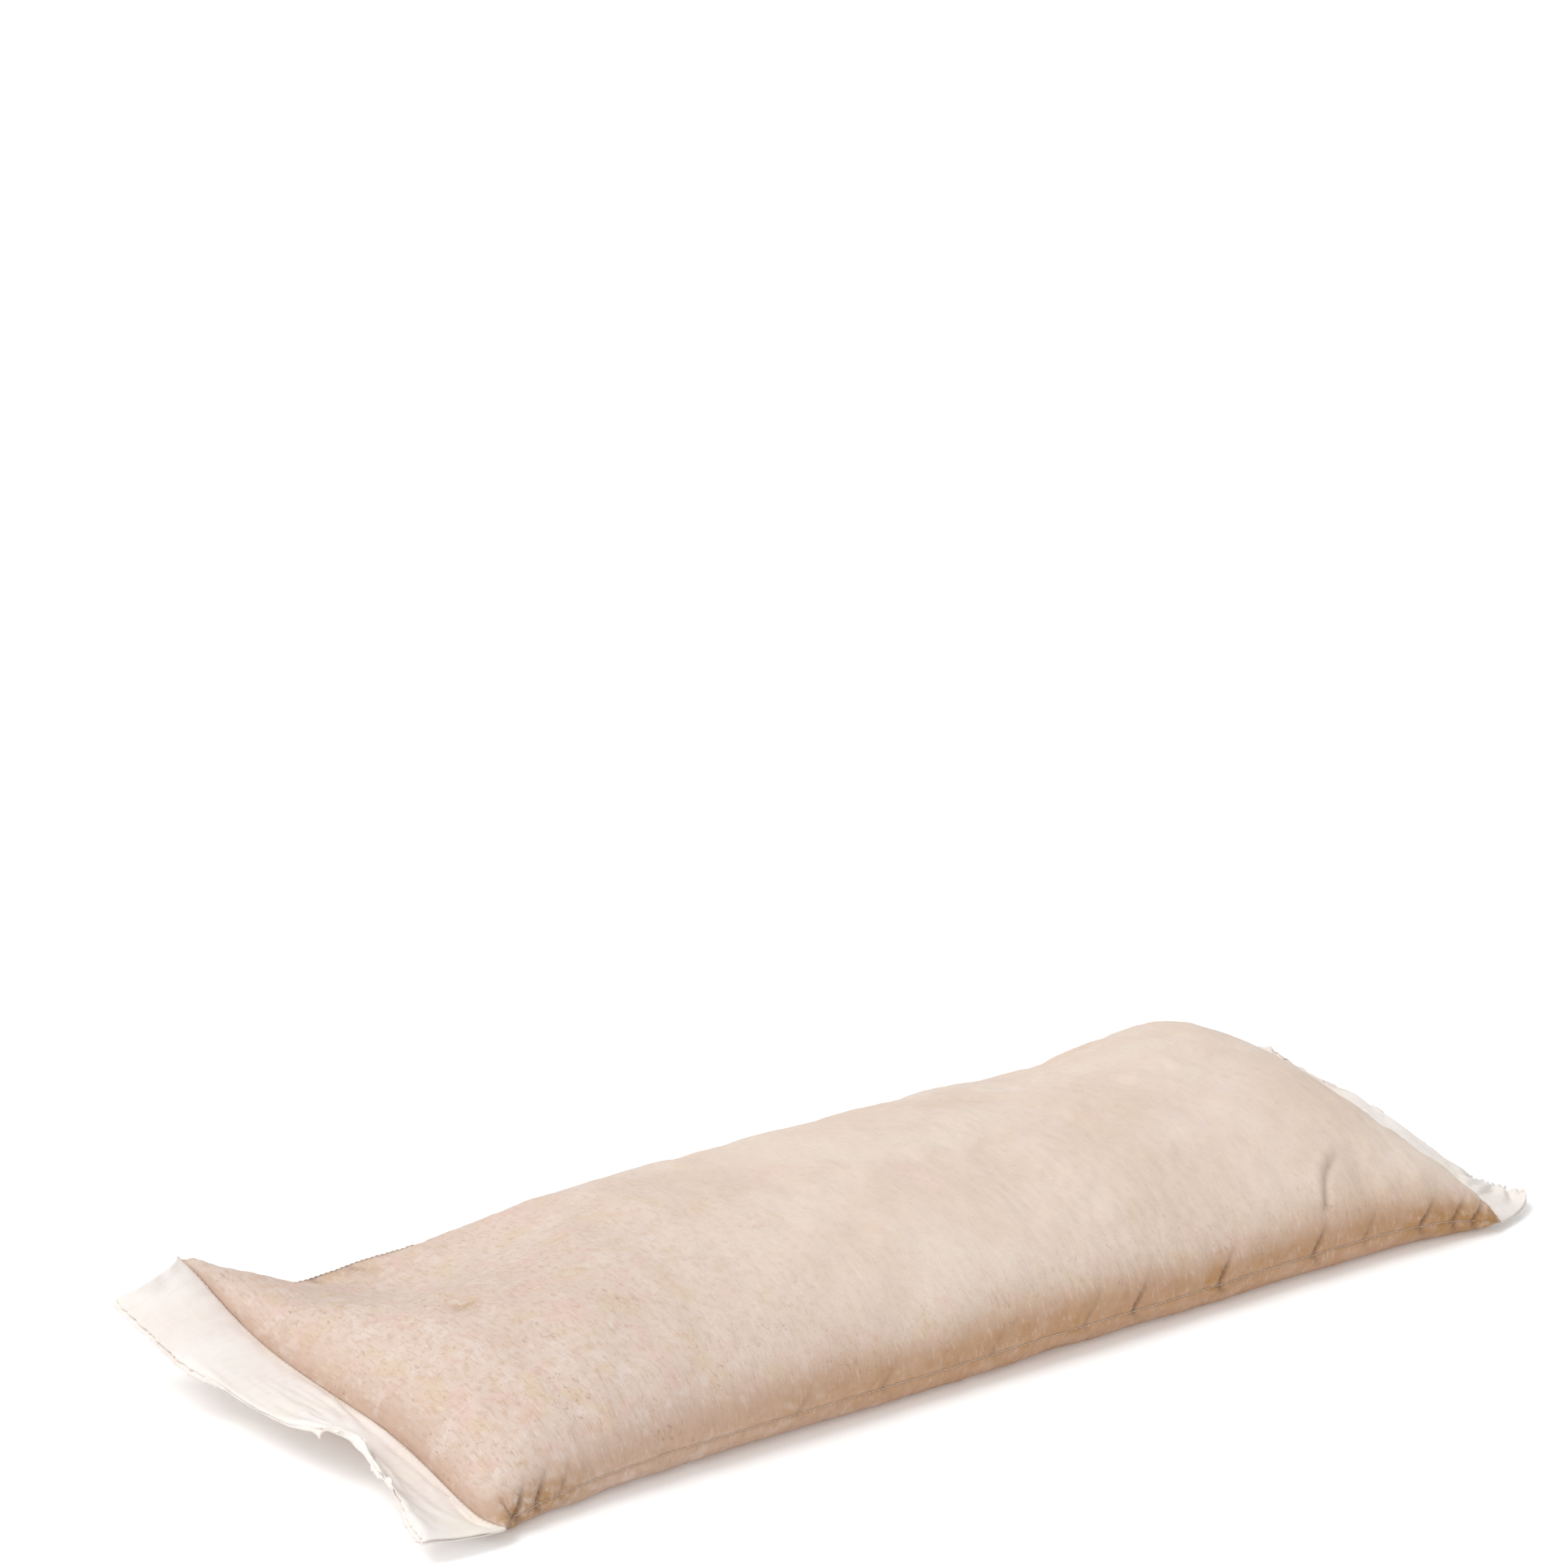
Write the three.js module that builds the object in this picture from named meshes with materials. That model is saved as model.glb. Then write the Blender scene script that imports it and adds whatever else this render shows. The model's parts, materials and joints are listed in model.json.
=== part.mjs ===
// A filled bolster pillow lying on its side: a cloth bag of two panels, closed by a seam across each
// end, with a loose flange of double cloth past each end seam, and a loose filling inside.
// Units are millimetres. +Z is up and the pillow lies on z = 0. +X runs along the pillow.
import * as THREE from "three";

// Overall sizes of the filled pillow
const seamLength = 644; // from end seam to end seam, measured at the corners
const endWidth = 264; // from corner to corner along an end seam
const middleWidth = 230; // widest part of the body, halfway along
const bodyHeight = 88; // floor to crown, halfway along
const flangeDepth = 42; // end seam to raw edge, at the corners

// Shape of the filled body
const sideSeamHeight = 25; // mean height of the two side seams halfway along
const sideTilt = 30; // how much higher the far one lies there than the near one
const endSeamHeight = 32; // height of an end seam at its middle
const endTilt = 20; // how much higher the far corner of an end seam lies than the near one
const endDip = 12; // how far the filling pulls the middle of an end seam inwards
const edgeDip = 8; // how far the middle of a raw edge follows
const flangeDroop = 13; // how far a flange hangs between the end seam and its raw edge
const widthPower = 6; // how late the body widens towards its corners
const heightPower = 5; // how late the body flattens towards its ends
const heightTaper = 0.7; // how softly it flattens there
const seatShare = 0.62; // share of the full depth at which the underside meets the floor
const seatPower = 1.6; // how softly the underside meets the floor
const seatRound = 0.05; // an underside lower than this lies flat on the floor
const dipPower = 3; // how near the ends the filling starts to pull the end seams inwards
const seamPower = 4; // how near the ends the side seams leave their middle height

// Cloth and thread
const clothThickness = 0.9;
const seamGap = 0.3; // clearance between pieces that touch
const threadRadius = 0.35;
const threadOffset = 1.2; // from the edge of the filled body to the end seam's stitches
const sideThreadReach = 0.965; // share of the length that a side seam's stitches cover
const foldOffset = 3.5; // from the seam's corners to the line the flange folds on
const foldClearance = 1.4; // from the fold line to the flange cloth
const lowerPlyExtra = 1.5; // how far the lower ply of a flange shows past the upper one

// Mesh density
const stepsAlong = 28;
const stepsAcross = 16;
const threadSides = 6;
const threadSteps = 28;
const flangeShares = [0, 0.5, 1]; // rows of points from the fold line to the raw edge
const normalStep = 1e-4; // share of the length or width over which a surface's slope is measured
const levelLimit = 1e-3; // a normal that rises less than this lies in the seam plane

const halfLength = seamLength / 2;
const foldX = halfLength + foldOffset;
const droopSlope = flangeDroop / (flangeDepth + endDip);
const tiltSlope = endTilt / endWidth;
const crossAngle = (v) => (v * Math.PI) / 2;

// Height of the middle of a flange, and of the end seams, at a distance x along the pillow and y across it.
function flangeHeight(x, y) {
  return endSeamHeight + tiltSlope * y - droopSlope * (Math.abs(x) - (halfLength - endDip));
}

// Half the body's width at the share u of its half length.
function halfWidth(u) {
  const narrow = middleWidth / 2 - clothThickness;
  const wide = endWidth / 2 - clothThickness;
  return narrow + (wide - narrow) * Math.abs(u) ** widthPower;
}

// How far along the pillow a point lies, with the end seams pulled in at the middle.
function alongX(u, v) {
  return u * (halfLength - endDip * (1 - v * v) * Math.abs(u) ** dipPower);
}

// How far to the side a point lies.
function acrossY(u, v) {
  return halfWidth(u) * Math.sin(crossAngle(v));
}

// Height of the seam plane between the two panels.
function seamHeight(u, v) {
  const end = flangeHeight(halfLength - endDip * (1 - v * v), acrossY(1, v));
  const middle = sideSeamHeight + (sideTilt / middleWidth) * acrossY(0, v);
  return middle + (end - middle) * Math.abs(u) ** seamPower;
}

// Share of the full depth of the body that is left towards its ends and sides.
function fullness(u, v) {
  const along = Math.max(0, 1 - Math.abs(u) ** heightPower) ** heightTaper;
  return along * Math.cos(crossAngle(v));
}

// Inside surface of the upper panel.
function upperInside(u, v) {
  const rise = bodyHeight - clothThickness - sideSeamHeight;
  const z = seamHeight(u, v) + seamGap / 2 + rise * fullness(u, v);
  return new THREE.Vector3(alongX(u, v), acrossY(u, v), z);
}

// Inside surface of the lower panel, flat where the pillow rests on the floor.
function lowerInside(u, v) {
  const seated = Math.min(1, fullness(u, v) / seatShare);
  const depth = seamHeight(u, v) - seamGap / 2 - clothThickness;
  const lift = depth * (1 - seated) ** seatPower;
  const z = clothThickness + (lift < seatRound ? 0 : lift);
  return new THREE.Vector3(alongX(u, v), acrossY(u, v), z);
}

// Unit normal of a surface, pointing up (side 1) or down (side -1), never across the seam plane.
function surfaceNormal(surface, u, v, side) {
  const ahead = (share) => Math.min(1, share + normalStep);
  const behind = (share) => Math.max(-1, share - normalStep);
  const alongU = surface(ahead(u), v).sub(surface(behind(u), v));
  const alongV = surface(u, ahead(v)).sub(surface(u, behind(v)));
  const normal = alongU.cross(alongV).normalize();
  if (normal.z * side < 0) normal.negate();
  if (Math.abs(normal.z) < levelLimit) normal.z = 0;
  return normal.normalize();
}

// Normal of the flat flange beyond the end seam at the given end.
function flangeNormal(end, side) {
  return new THREE.Vector3(end * droopSlope, -tiltSlope, 1).normalize().multiplyScalar(side);
}

// Closes two grids of points, an outer and an inner one with the same rows, into one solid.
// facing is 1 when the outer grid is seen with rows along +X and columns along +Y from above.
function solidBetween(outer, inner, facing) {
  const rows = outer.length;
  const columns = outer[0].length;
  const points = [...outer.flat(), ...inner.flat()];
  const indices = [];
  const outerAt = (i, j) => i * columns + j;
  const innerAt = (i, j) => rows * columns + i * columns + j;
  const quad = (a, b, c, d) => {
    if (facing > 0) indices.push(a, b, c, a, c, d);
    else indices.push(a, c, b, a, d, c);
  };
  for (let i = 0; i < rows - 1; i += 1) {
    for (let j = 0; j < columns - 1; j += 1) {
      quad(outerAt(i, j), outerAt(i + 1, j), outerAt(i + 1, j + 1), outerAt(i, j + 1));
      quad(innerAt(i, j), innerAt(i, j + 1), innerAt(i + 1, j + 1), innerAt(i + 1, j));
    }
  }
  for (let i = 0; i < rows - 1; i += 1) {
    const last = columns - 1;
    quad(outerAt(i, 0), innerAt(i, 0), innerAt(i + 1, 0), outerAt(i + 1, 0));
    quad(outerAt(i, last), outerAt(i + 1, last), innerAt(i + 1, last), innerAt(i, last));
  }
  for (let j = 0; j < columns - 1; j += 1) {
    const last = rows - 1;
    quad(outerAt(0, j), outerAt(0, j + 1), innerAt(0, j + 1), innerAt(0, j));
    quad(outerAt(last, j), innerAt(last, j), innerAt(last, j + 1), outerAt(last, j + 1));
  }
  const geometry = new THREE.BufferGeometry();
  geometry.setAttribute(
    "position",
    new THREE.Float32BufferAttribute(
      points.flatMap((p) => [p.x, p.y, p.z]),
      3,
    ),
  );
  geometry.setIndex(indices);
  geometry.computeVertexNormals();
  return geometry;
}

const sharesAlong = Array.from({ length: stepsAlong + 1 }, (_, i) =>
  Math.sin(crossAngle((2 * i) / stepsAlong - 1)),
);
const sharesAcross = Array.from({ length: stepsAcross + 1 }, (_, j) => (2 * j) / stepsAcross - 1);

// One row of a panel beyond the end seam: the strip between the seam and the fold line.
function foldRow(end, side) {
  return sharesAcross.map((v) => {
    const y = acrossY(1, v);
    const z = flangeHeight(foldX, y) + (side * seamGap) / 2;
    return new THREE.Vector3(end * foldX, y, z);
  });
}

// A panel of the bag: the cloth over or under the filling, and the strip up to each fold line.
function panelGeometry(surface, side) {
  const inner = [foldRow(-1, side)];
  const outer = [
    foldRow(-1, side).map((p) => p.clone().addScaledVector(flangeNormal(-1, side), clothThickness)),
  ];
  for (const u of sharesAlong) {
    const innerRow = sharesAcross.map((v) => surface(u, v));
    const outerRow = innerRow.map((point, j) => {
      const normal =
        Math.abs(u) === 1
          ? flangeNormal(u, side)
          : surfaceNormal(surface, u, sharesAcross[j], side);
      const moved = point.clone().addScaledVector(normal, clothThickness);
      if (side < 0 && point.z <= clothThickness) moved.set(point.x, point.y, 0);
      return moved;
    });
    inner.push(innerRow);
    outer.push(outerRow);
  }
  inner.push(foldRow(1, side));
  outer.push(
    foldRow(1, side).map((p) => p.clone().addScaledVector(flangeNormal(1, side), clothThickness)),
  );
  return solidBetween(outer, inner, side);
}

// The filling: everything inside the two panels, a seam gap clear of both.
function fillingGeometry() {
  const along = sharesAlong.slice(1, -1);
  const across = sharesAcross.slice(1, -1);
  const inset = (surface, side) =>
    along.map((u) =>
      across.map((v) => surface(u, v).addScaledVector(surfaceNormal(surface, u, v, side), -seamGap)),
    );
  return solidBetween(inset(upperInside, 1), inset(lowerInside, -1), 1);
}

// One ply of a flange, from just past the fold line to its raw edge.
function flangePlyGeometry(end, side) {
  const extra = side < 0 ? lowerPlyExtra : 0;
  const startX = foldX + foldClearance;
  const edgeX = (v) => halfLength + flangeDepth + extra - edgeDip * (1 - v * v);
  const near = flangeShares.map((share) =>
    sharesAcross.map((v) => {
      const x = startX + (edgeX(Math.sin(crossAngle(v))) - startX) * share;
      const y = acrossY(1, v);
      return new THREE.Vector3(end * x, y, flangeHeight(x, y) + (side * seamGap) / 2);
    }),
  );
  if (end < 0) near.reverse();
  const far = near.map((row) =>
    row.map((p) => p.clone().addScaledVector(flangeNormal(end, side), clothThickness)),
  );
  return solidBetween(far, near, side);
}

// A thread as a thin tube through the given points.
function threadGeometry(points) {
  const section = new THREE.Shape();
  section.absarc(0, 0, threadRadius, 0, 2 * Math.PI);
  return new THREE.ExtrudeGeometry(section, {
    extrudePath: new THREE.CatmullRomCurve3(points),
    steps: threadSteps,
    curveSegments: threadSides,
    bevelEnabled: false,
  });
}

// The thread over (side 1) or under (side -1) an end seam, just past the filled body.
function endThreadGeometry(end, side) {
  const lift = seamGap / 2 + clothThickness + seamGap + threadRadius;
  const points = sharesAcross.map((v) => {
    const x = halfLength - endDip * (1 - v * v) + threadOffset;
    const y = acrossY(1, v);
    const base = new THREE.Vector3(end * x, y, flangeHeight(x, y));
    return base.addScaledVector(flangeNormal(end, side), lift);
  });
  return threadGeometry(points);
}

// The thread along a side seam, in the groove between the two panels.
function sideThreadGeometry(side) {
  const points = sharesAlong
    .filter((u) => Math.abs(u) < sideThreadReach)
    .map((u) => {
      const y = halfWidth(u) + clothThickness + seamGap + threadRadius;
      return new THREE.Vector3(alongX(u, side), side * y, seamHeight(u, side));
    });
  return threadGeometry(points);
}

const clothColour = { color: 0xe2cfc0, roughness: 0.85, metalness: 0 };
const flangeColour = { color: 0xefe6df, roughness: 0.8, metalness: 0 };
const fillingColour = { color: 0xb08a5e, roughness: 0.95, metalness: 0 };
const threadColour = { color: 0xd6c1ac, roughness: 0.7, metalness: 0 };

const part = new THREE.Group();
part.name = "bolster_pillow";

function addPiece(name, geometry, look) {
  const mesh = new THREE.Mesh(geometry, new THREE.MeshStandardMaterial(look));
  mesh.name = name;
  part.add(mesh);
}

addPiece("upper_panel", panelGeometry(upperInside, 1), clothColour);
addPiece("lower_panel", panelGeometry(lowerInside, -1), clothColour);
addPiece("filling", fillingGeometry(), fillingColour);
addPiece("near_side_thread", sideThreadGeometry(-1), threadColour);
addPiece("far_side_thread", sideThreadGeometry(1), threadColour);
for (const [name, end] of [
  ["left", -1],
  ["right", 1],
]) {
  addPiece(`${name}_end_upper_thread`, endThreadGeometry(end, 1), threadColour);
  addPiece(`${name}_end_lower_thread`, endThreadGeometry(end, -1), threadColour);
  addPiece(`${name}_flange_upper_ply`, flangePlyGeometry(end, 1), flangeColour);
  addPiece(`${name}_flange_lower_ply`, flangePlyGeometry(end, -1), flangeColour);
}

export default part;
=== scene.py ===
import json
import math

import bpy
import numpy as np
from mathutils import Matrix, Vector


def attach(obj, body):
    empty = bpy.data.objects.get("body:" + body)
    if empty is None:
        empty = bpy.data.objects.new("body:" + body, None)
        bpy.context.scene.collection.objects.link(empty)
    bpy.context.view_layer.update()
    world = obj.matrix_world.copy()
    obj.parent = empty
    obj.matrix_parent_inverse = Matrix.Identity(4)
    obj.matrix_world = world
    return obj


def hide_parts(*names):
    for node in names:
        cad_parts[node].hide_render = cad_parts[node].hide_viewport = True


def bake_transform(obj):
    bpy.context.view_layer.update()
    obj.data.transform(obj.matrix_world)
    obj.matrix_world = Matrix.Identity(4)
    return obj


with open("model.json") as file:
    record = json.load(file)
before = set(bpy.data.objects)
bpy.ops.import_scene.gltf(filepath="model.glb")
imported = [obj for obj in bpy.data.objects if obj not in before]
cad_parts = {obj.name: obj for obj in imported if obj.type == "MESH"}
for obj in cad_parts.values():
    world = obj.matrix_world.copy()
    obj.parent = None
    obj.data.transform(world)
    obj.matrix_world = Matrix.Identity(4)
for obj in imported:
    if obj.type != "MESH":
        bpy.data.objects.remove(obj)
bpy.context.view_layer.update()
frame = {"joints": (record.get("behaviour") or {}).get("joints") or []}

# A bolster pillow lying rolled a little to one side. Metres, +Z up, it rests on z = 0 and runs along X.
# The bag is filled and dropped by a small cloth simulation, then its cloth, flanges, seams and
# stitches are built on the settled shape.

BAG_LENGTH = 0.66  # flat panel, from end seam to end seam
BAG_WIDTH = 0.272  # flat panel, from side seam to side seam
VOLUME = 0.0094  # cubic metres of filling
SIDE_GATHER = 0.965  # share of its flat length that each side seam keeps once sewn
END_GATHER = 0.985  # the same for the end seams
CORNERS = {  # where the four corners of the bag lie
    "near_left": (-0.313, -0.138, 0.008),
    "far_left": (-0.330, 0.139, 0.061),
    "near_right": (0.330, -0.134, 0.003),
    "far_right": (0.318, 0.138, 0.036),
}
CORNER_REACH = 0.014  # how much of the cloth round a corner goes with it
CORNER_HOLD = 0.3  # share of the way to its place that a corner moves at each step
NEAR_SEAM_HEIGHT = 0.014  # of the side seams halfway along, the bag being rolled a little
FAR_SEAM_HEIGHT = 0.042
SEAM_HOLD = 0.5  # share of the way to that height at each step
SEAM_HOLD_LENGTH = 0.30  # from the middle of the bag, where the hold on the seams ends
DAMPING = 0.97  # share of its speed that the cloth keeps from step to step
TOP_SPEED = 0.002  # metres in one step
BIAS_STRENGTH = 0.6  # of the cloth pulled askew, beside 1 along its threads
FLOOR_GRIP = 0.5  # share of its slide that cloth on the floor loses at each step
FLOOR_TOUCH = 1e-5


def lattice(x, y, cell_x, cell_y, seed):
    """Smooth random values over a grid of cells, about -2 to 2, at the points x, y in metres."""
    a = np.asarray(x) / cell_x + 1000.0
    b = np.asarray(y) / cell_y + 1000.0
    i = np.floor(a).astype(np.int64)
    j = np.floor(b).astype(np.int64)
    i0, j0 = i.min(), j.min()
    table = np.random.default_rng(seed).standard_normal((i.max() - i0 + 2, j.max() - j0 + 2))
    u = a - i
    v = b - j
    u = u * u * u * (u * (6 * u - 15) + 10)
    v = v * v * v * (v * (6 * v - 15) + 10)
    i -= i0
    j -= j0
    low = table[i, j] * (1 - u) + table[i + 1, j] * u
    high = table[i, j + 1] * (1 - u) + table[i + 1, j + 1] * u
    return low * (1 - v) + high * v


def bumps(grid):
    """How far the neighbours of each point lie to one side of it, summed along and across."""
    out = np.zeros_like(grid)
    out[1:-1] += grid[2:] + grid[:-2] - 2 * grid[1:-1]
    out[:, 1:-1] += grid[:, 2:] + grid[:, :-2] - 2 * grid[:, 1:-1]
    return out


class Bag:
    """Two cloth panels sewn together all round, as two grids of points that share their borders."""

    def __init__(self, step):
        self.rows = 2 * round(BAG_LENGTH / step / 2)
        self.columns = 2 * round(BAG_WIDTH / step / 2)
        nx, ny = self.rows + 1, self.columns + 1
        self.x = np.linspace(-BAG_LENGTH / 2, BAG_LENGTH / 2, nx)
        self.y = np.linspace(-BAG_WIDTH / 2, BAG_WIDTH / 2, ny)
        self.flat_x, self.flat_y = np.meshgrid(self.x, self.y, indexing="ij")
        self.upper = np.arange(nx * ny).reshape(nx, ny)
        border = np.zeros((nx, ny), bool)
        border[0] = border[-1] = True
        border[:, 0] = border[:, -1] = True
        self.border = border
        self.lower = self.upper.copy()
        self.lower[~border] = nx * ny + np.arange((~border).sum())
        self.count = nx * ny + int((~border).sum())
        self.faces = np.concatenate([self.triangles(self.upper, False), self.triangles(self.lower, True)])
        self.links = self.make_links()
        self.make_guide()

    def triangles(self, index, turned):
        a, b = index[:-1, :-1].ravel(), index[1:, :-1].ravel()
        c, d = index[1:, 1:].ravel(), index[:-1, 1:].ravel()
        t = np.concatenate([np.stack([a, b, c], 1), np.stack([a, c, d], 1)])
        return t[:, ::-1] if turned else t

    def make_links(self):
        """Links of the cloth as sets of independent pairs: both ends, length, and whether they run askew."""
        dx = self.x[1] - self.x[0]
        dy = self.y[1] - self.y[0]
        links = []
        for side, index in enumerate((self.upper, self.lower)):
            along = np.full((self.rows, self.columns + 1), dx)
            along[:, 0] = along[:, -1] = dx * SIDE_GATHER
            across = np.full((self.rows + 1, self.columns), dy)
            across[0] = across[-1] = dy * END_GATHER
            for first in (0, 1):
                own = np.ones((self.rows, self.columns + 1), bool)
                if side:
                    own[:, 0] = own[:, -1] = False
                pick = np.zeros_like(own)
                pick[first::2] = True
                pick &= own
                links.append((index[:-1][pick], index[1:][pick], along[pick], False))
                own = np.ones((self.rows + 1, self.columns), bool)
                if side:
                    own[0] = own[-1] = False
                pick = np.zeros_like(own)
                pick[:, first::2] = True
                pick &= own
                links.append((index[:, :-1][pick], index[:, 1:][pick], across[pick], False))
                for a, b in ((index[:-1, :-1], index[1:, 1:]), (index[:-1, 1:], index[1:, :-1])):
                    a, b = a[first::2].ravel(), b[first::2].ravel()
                    links.append((a, b, np.full(len(a), np.hypot(dx, dy)), True))
        return links

    def lay_flat(self):
        """Starts as a thin pad above the floor."""
        p = np.zeros((self.count, 3))
        u = np.abs(self.flat_x) / (BAG_LENGTH / 2)
        v = np.abs(self.flat_y) / (BAG_WIDTH / 2)
        rise = 0.03 * np.sqrt(1 - u**4) * np.sqrt(1 - v**2)
        for index, side in ((self.lower, -1), (self.upper, 1)):
            p[index] = np.stack([self.flat_x, self.flat_y, 0.03 + side * rise], -1)
        self.p = p
        self.before = p.copy()

    def refine(self, coarse):
        """Takes its shape from a coarser bag."""

        def weights(old, new):
            k = np.clip(np.searchsorted(old, new, side="right") - 1, 0, len(old) - 2)
            return k, (new - old[k]) / (old[k + 1] - old[k])

        i, u = weights(coarse.x, self.x)
        j, v = weights(coarse.y, self.y)
        u, v = u[:, None, None], v[None, :, None]
        p = np.zeros((self.count, 3))
        for mine, theirs in ((self.lower, coarse.lower), (self.upper, coarse.upper)):
            g = coarse.p[theirs]
            low = g[i][:, j] * (1 - u) + g[i + 1][:, j] * u
            high = g[i][:, j + 1] * (1 - u) + g[i + 1][:, j + 1] * u
            p[mine] = low * (1 - v) + high * v
        self.p = p
        self.before = p.copy()

    def volume(self, p):
        a, b, c = (p[self.faces[:, k]] for k in range(3))
        return np.einsum("ij,ij->", a, np.cross(b, c)) / 6

    def area_vectors(self, p):
        a, b, c = (p[self.faces[:, k]] for k in range(3))
        n = np.cross(b - a, c - a) / 6
        out = np.zeros_like(p)
        for k in range(3):
            for d in range(3):
                out[:, d] += np.bincount(self.faces[:, k], n[:, d], minlength=self.count)
        return out

    def make_guide(self):
        """Shares of the move that each point near a corner takes."""
        ends = {"left": -1, "right": 1}
        sides = {"near": -1, "far": 1}
        self.pulls = []
        for name, place in CORNERS.items():
            side, end = name.split("_")
            away = np.hypot(
                self.flat_x - ends[end] * BAG_LENGTH / 2, self.flat_y - sides[side] * BAG_WIDTH / 2
            )
            share = np.zeros(self.count)
            for index in (self.lower, self.upper):
                share[index] = np.exp(-((away / CORNER_REACH) ** 2))
            inside = np.flatnonzero(share > 0.02)
            point = self.upper[0 if end == "left" else -1, 0 if side == "near" else -1]
            self.pulls.append((point, inside, share[inside, None], np.array(place)))

    def guide(self):
        """Holds the corners and the height of the side seams where the pillow was put down."""
        for point, inside, share, place in self.pulls:
            move = (place - self.p[point]) * CORNER_HOLD * share
            self.p[inside] += move
            self.before[inside] += move
        share = np.clip(1 - (self.x / SEAM_HOLD_LENGTH) ** 4, 0, 1)
        for column, height in ((0, NEAR_SEAM_HEIGHT), (-1, FAR_SEAM_HEIGHT)):
            i = self.upper[:, column]
            move = (height - self.p[i, 2]) * share * SEAM_HOLD
            self.p[i, 2] += move
            self.before[i, 2] += move

    def settle(self, steps, volume, slope, weight, stiffness=0.0, squeeze=0.05, push=0.0, guided=True):
        """Fills and drops the bag. slope is how fast the filling's push fades with height."""
        cell = (self.x[1] - self.x[0]) * (self.y[1] - self.y[0])
        for _ in range(steps):
            p = self.p
            speed = (p - self.before) * DAMPING
            length = np.linalg.norm(speed, axis=1, keepdims=True)
            speed *= np.minimum(1, TOP_SPEED / np.maximum(length, 1e-12))
            force = (push - slope * p[:, 2:3]) * self.area_vectors(p) / cell
            force[:, 2] -= weight
            self.before = p.copy()
            p = p + speed + force
            for _pass in range(3):
                g = self.area_vectors(p)
                p -= (self.volume(p) - volume) * g / np.einsum("ij,ij->", g, g)
                for a, b, rest, askew in self.links:
                    d = p[a] - p[b]
                    length = np.sqrt(np.einsum("ij,ij->i", d, d))
                    over = length - rest
                    share = np.where(over > 0, BIAS_STRENGTH if askew else 1.0, squeeze)
                    d *= (0.5 * share * over / np.maximum(length, 1e-9))[:, None]
                    p[a] -= d
                    p[b] += d
                if stiffness:
                    for index in (self.upper, self.lower):
                        p[index] -= stiffness / 64 * bumps(bumps(p[index]))
                np.maximum(p[:, 2], 0, out=p[:, 2])
            floor = p[:, 2] < FLOOR_TOUCH
            slide = p[floor, :2] - self.before[floor, :2]
            p[floor, :2] = self.before[floor, :2] + slide * (1 - FLOOR_GRIP)
            self.p = p
            if guided:
                self.guide()


# ---------------------------------------------------------------- camera
CAMERA_AZIMUTH = -37.403  # degrees, 0 looks along +Y
CAMERA_ELEVATION = 22.269
CAMERA_DISTANCE = 2.441
CAMERA_AIM = (-0.083, -0.065, 0.04)  # point the distance is measured from
CAMERA_LENS = 112.435  # millimetres on a 36 mm sensor
AIM_ACROSS = 0.005635  # tangents from the middle of the picture to the aim point, to the right
AIM_BELOW = 0.105071  # and downwards


def make_camera():
    a, e = math.radians(CAMERA_AZIMUTH), math.radians(CAMERA_ELEVATION)
    back = Vector((math.sin(a) * math.cos(e), -math.cos(a) * math.cos(e), math.sin(e)))
    place = Vector(CAMERA_AIM) + back * CAMERA_DISTANCE
    sight = Vector((AIM_ACROSS, -AIM_BELOW, 1)).normalized()
    pitch = math.asin(-back.z / math.hypot(sight.y, sight.z)) - math.atan2(sight.y, sight.z)
    ahead = sight.z * math.cos(pitch) - sight.y * math.sin(pitch)
    yaw = math.atan2(-back.x, -back.y) - math.atan2(sight.x, ahead)
    forward = Vector((math.sin(yaw) * math.cos(pitch), math.cos(yaw) * math.cos(pitch), math.sin(pitch)))
    data = bpy.data.cameras.new("camera")
    data.sensor_width = 36
    data.lens = CAMERA_LENS
    data.clip_end = 50
    camera = bpy.data.objects.new("camera", data)
    bpy.context.scene.collection.objects.link(camera)
    camera.location = place
    camera.rotation_mode = "QUATERNION"
    camera.rotation_quaternion = forward.to_track_quat("-Z", "Y")
    bpy.context.scene.camera = camera


make_camera()

# ---------------------------------------------------------------- the settled bag
PUSH = (  # where the filling presses more or less on the upper panel: x, y, reach in x and y, amount
    (-0.24, 0.09, 0.07, 0.06, -0.07),
    (0.28, 0.04, 0.06, 0.10, 0.045),
)


def push_on(bag, slope):
    field = np.zeros(bag.count)
    value = 0.006 * lattice(bag.flat_x, bag.flat_y, 0.06, 0.05, 3)
    value = value + 0.004 * lattice(bag.flat_x, bag.flat_y, 0.03, 0.03, 4)
    for x, y, rx, ry, amount in PUSH:
        value = value + amount * np.exp(-(((bag.flat_x - x) / rx) ** 2) - ((bag.flat_y - y) / ry) ** 2)
    field[bag.upper] = value
    return slope * field[:, None]


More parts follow.
